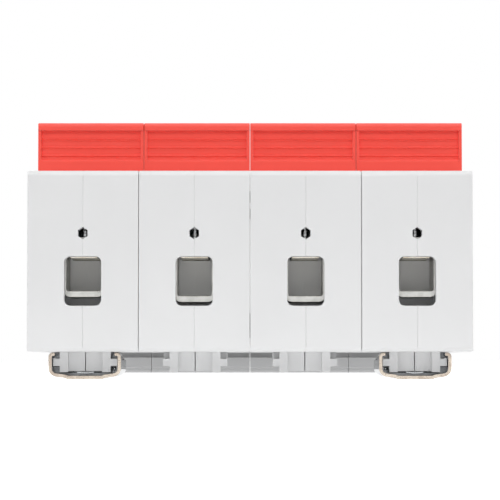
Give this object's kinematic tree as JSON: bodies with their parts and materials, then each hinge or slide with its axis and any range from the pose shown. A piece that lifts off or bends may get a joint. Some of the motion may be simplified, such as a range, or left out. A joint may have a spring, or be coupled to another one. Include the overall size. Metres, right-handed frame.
{
  "type": "surge protection device",
  "caption": "Rail-mounted plug-in surge protection device: pale base with cage terminals at both ends, red plug-in cartridges with status windows, and spring clips for the rail.",
  "frame": {"origin": "on the face of the mounting rail (z = 0), at the middle of the device between the second and third pole", "axes": "+X across the poles to the right as the picture shows them, +Y from the clip end to the hook end, +Z away from the rail towards the user"},
  "size_m": [0.108, 0.09, 0.0651],
  "materials": {
    "housing": "fine satin, very light grey",
    "cartridge": "satin coral red",
    "carrier": "satin coral red",
    "varistor": "dark blue epoxy coating",
    "contact_brass": "stamped, tin plated",
    "screw_steel": "zinc plated",
    "cage_steel": "zinc plated",
    "clip_steel": "nickel plated spring steel",
    "rivet_steel": "zinc plated",
    "window": "clear polycarbonate",
    "flag": "green, red at the tripped end"
  },
  "bodies": {
    "base": {"tie_rivets": "rivet_steel", "housing_left_1": "housing", "housing_right_1": "housing", "contact_near_1": "contact_brass", "contact_far_1": "contact_brass", "housing_left_2": "housing", "housing_right_2": "housing", "contact_near_2": "contact_brass", "contact_far_2": "contact_brass", "housing_left_3": "housing", "housing_right_3": "housing", "contact_near_3": "contact_brass", "contact_far_3": "contact_brass", "housing_left_4": "housing", "housing_right_4": "housing", "contact_near_4": "contact_brass", "contact_far_4": "contact_brass"},
    "cartridge_1": {"cartridge_shell_1": "cartridge", "cartridge_carrier_1": "carrier", "varistor_1": "varistor", "blades_1": "contact_brass", "window_1": "window"},
    "flag_1": {"flag_1": "flag"},
    "cartridge_2": {"cartridge_shell_2": "cartridge", "cartridge_carrier_2": "carrier", "varistor_2": "varistor", "blades_2": "contact_brass", "window_2": "window"},
    "flag_2": {"flag_2": "flag"},
    "cartridge_3": {"cartridge_shell_3": "cartridge", "cartridge_carrier_3": "carrier", "varistor_3": "varistor", "blades_3": "contact_brass", "window_3": "window"},
    "flag_3": {"flag_3": "flag"},
    "cartridge_4": {"cartridge_shell_4": "cartridge", "cartridge_carrier_4": "carrier", "varistor_4": "varistor", "blades_4": "contact_brass", "window_4": "window"},
    "flag_4": {"flag_4": "flag"},
    "screw_near_1": {"screw_near_1": "screw_steel"},
    "cage_near_1": {"cage_near_1": "cage_steel"},
    "screw_far_1": {"screw_far_1": "screw_steel"},
    "cage_far_1": {"cage_far_1": "cage_steel"},
    "screw_near_2": {"screw_near_2": "screw_steel"},
    "cage_near_2": {"cage_near_2": "cage_steel"},
    "screw_far_2": {"screw_far_2": "screw_steel"},
    "cage_far_2": {"cage_far_2": "cage_steel"},
    "screw_near_3": {"screw_near_3": "screw_steel"},
    "cage_near_3": {"cage_near_3": "cage_steel"},
    "screw_far_3": {"screw_far_3": "screw_steel"},
    "cage_far_3": {"cage_far_3": "cage_steel"},
    "screw_near_4": {"screw_near_4": "screw_steel"},
    "cage_near_4": {"cage_near_4": "cage_steel"},
    "screw_far_4": {"screw_far_4": "screw_steel"},
    "cage_far_4": {"cage_far_4": "cage_steel"},
    "rail_clip_1": {"rail_clip_1": "clip_steel"},
    "rail_clip_4": {"rail_clip_4": "clip_steel"}
  },
  "joints": [
    {"name": "cartridge_1_slide", "type": "slide", "parent": "base", "child": "cartridge_1", "axis": [0, 0, 1], "range_m": [0, 0.042]},
    {"name": "flag_1_slide", "type": "slide", "parent": "cartridge_1", "child": "flag_1", "axis": [0, 1, 0], "range_m": [0, 0.005]},
    {"name": "cartridge_2_slide", "type": "slide", "parent": "base", "child": "cartridge_2", "axis": [0, 0, 1], "range_m": [0, 0.042]},
    {"name": "flag_2_slide", "type": "slide", "parent": "cartridge_2", "child": "flag_2", "axis": [0, 1, 0], "range_m": [0, 0.005]},
    {"name": "cartridge_3_slide", "type": "slide", "parent": "base", "child": "cartridge_3", "axis": [0, 0, 1], "range_m": [0, 0.042]},
    {"name": "flag_3_slide", "type": "slide", "parent": "cartridge_3", "child": "flag_3", "axis": [0, 1, 0], "range_m": [0, 0.005]},
    {"name": "cartridge_4_slide", "type": "slide", "parent": "base", "child": "cartridge_4", "axis": [0, 0, 1], "range_m": [0, 0.042]},
    {"name": "flag_4_slide", "type": "slide", "parent": "cartridge_4", "child": "flag_4", "axis": [0, 1, 0], "range_m": [0, 0.005]},
    {"name": "screw_near_1_turn", "type": "hinge", "parent": "base", "child": "screw_near_1", "pos_m": [-0.0405, -0.037, 0.036], "axis": [0, 0, 1], "range_deg": [-3421, 541]},
    {"name": "cage_near_1_slide", "type": "slide", "parent": "base", "child": "cage_near_1", "axis": [0, 0, 1], "range_m": [-0.0012, 0.0076]},
    {"name": "screw_far_1_turn", "type": "hinge", "parent": "base", "child": "screw_far_1", "pos_m": [-0.0405, 0.037, 0.036], "axis": [0, 0, 1], "range_deg": [-3421, 541]},
    {"name": "cage_far_1_slide", "type": "slide", "parent": "base", "child": "cage_far_1", "axis": [0, 0, 1], "range_m": [-0.0012, 0.0076]},
    {"name": "screw_near_2_turn", "type": "hinge", "parent": "base", "child": "screw_near_2", "pos_m": [-0.0135, -0.037, 0.036], "axis": [0, 0, 1], "range_deg": [-3961, 1]},
    {"name": "cage_near_2_slide", "type": "slide", "parent": "base", "child": "cage_near_2", "axis": [0, 0, 1], "range_m": [0, 0.0088]},
    {"name": "screw_far_2_turn", "type": "hinge", "parent": "base", "child": "screw_far_2", "pos_m": [-0.0135, 0.037, 0.036], "axis": [0, 0, 1], "range_deg": [-3961, 1]},
    {"name": "cage_far_2_slide", "type": "slide", "parent": "base", "child": "cage_far_2", "axis": [0, 0, 1], "range_m": [0, 0.0088]},
    {"name": "screw_near_3_turn", "type": "hinge", "parent": "base", "child": "screw_near_3", "pos_m": [0.0135, -0.037, 0.036], "axis": [0, 0, 1], "range_deg": [-3961, 1]},
    {"name": "cage_near_3_slide", "type": "slide", "parent": "base", "child": "cage_near_3", "axis": [0, 0, 1], "range_m": [0, 0.0088]},
    {"name": "screw_far_3_turn", "type": "hinge", "parent": "base", "child": "screw_far_3", "pos_m": [0.0135, 0.037, 0.036], "axis": [0, 0, 1], "range_deg": [-3961, 1]},
    {"name": "cage_far_3_slide", "type": "slide", "parent": "base", "child": "cage_far_3", "axis": [0, 0, 1], "range_m": [0, 0.0088]},
    {"name": "screw_near_4_turn", "type": "hinge", "parent": "base", "child": "screw_near_4", "pos_m": [0.0405, -0.037, 0.036], "axis": [0, 0, 1], "range_deg": [-3421, 541]},
    {"name": "cage_near_4_slide", "type": "slide", "parent": "base", "child": "cage_near_4", "axis": [0, 0, 1], "range_m": [-0.0012, 0.0076]},
    {"name": "screw_far_4_turn", "type": "hinge", "parent": "base", "child": "screw_far_4", "pos_m": [0.0405, 0.037, 0.036], "axis": [0, 0, 1], "range_deg": [-3421, 541]},
    {"name": "cage_far_4_slide", "type": "slide", "parent": "base", "child": "cage_far_4", "axis": [0, 0, 1], "range_m": [-0.0012, 0.0076]},
    {"name": "rail_clip_1_slide", "type": "slide", "parent": "base", "child": "rail_clip_1", "axis": [0, -1, 0], "range_m": [0, 0.004]},
    {"name": "rail_clip_4_slide", "type": "slide", "parent": "base", "child": "rail_clip_4", "axis": [0, -1, 0], "range_m": [0, 0.004]}
  ],
  "couplings": [
    {"joint": "screw_near_1_turn", "follows": "cage_near_1_slide", "rad_per_m": -7854},
    {"joint": "screw_far_1_turn", "follows": "cage_far_1_slide", "rad_per_m": -7854},
    {"joint": "screw_near_2_turn", "follows": "cage_near_2_slide", "rad_per_m": -7854},
    {"joint": "screw_far_2_turn", "follows": "cage_far_2_slide", "rad_per_m": -7854},
    {"joint": "screw_near_3_turn", "follows": "cage_near_3_slide", "rad_per_m": -7854},
    {"joint": "screw_far_3_turn", "follows": "cage_far_3_slide", "rad_per_m": -7854},
    {"joint": "screw_near_4_turn", "follows": "cage_near_4_slide", "rad_per_m": -7854},
    {"joint": "screw_far_4_turn", "follows": "cage_far_4_slide", "rad_per_m": -7854}
  ]
}
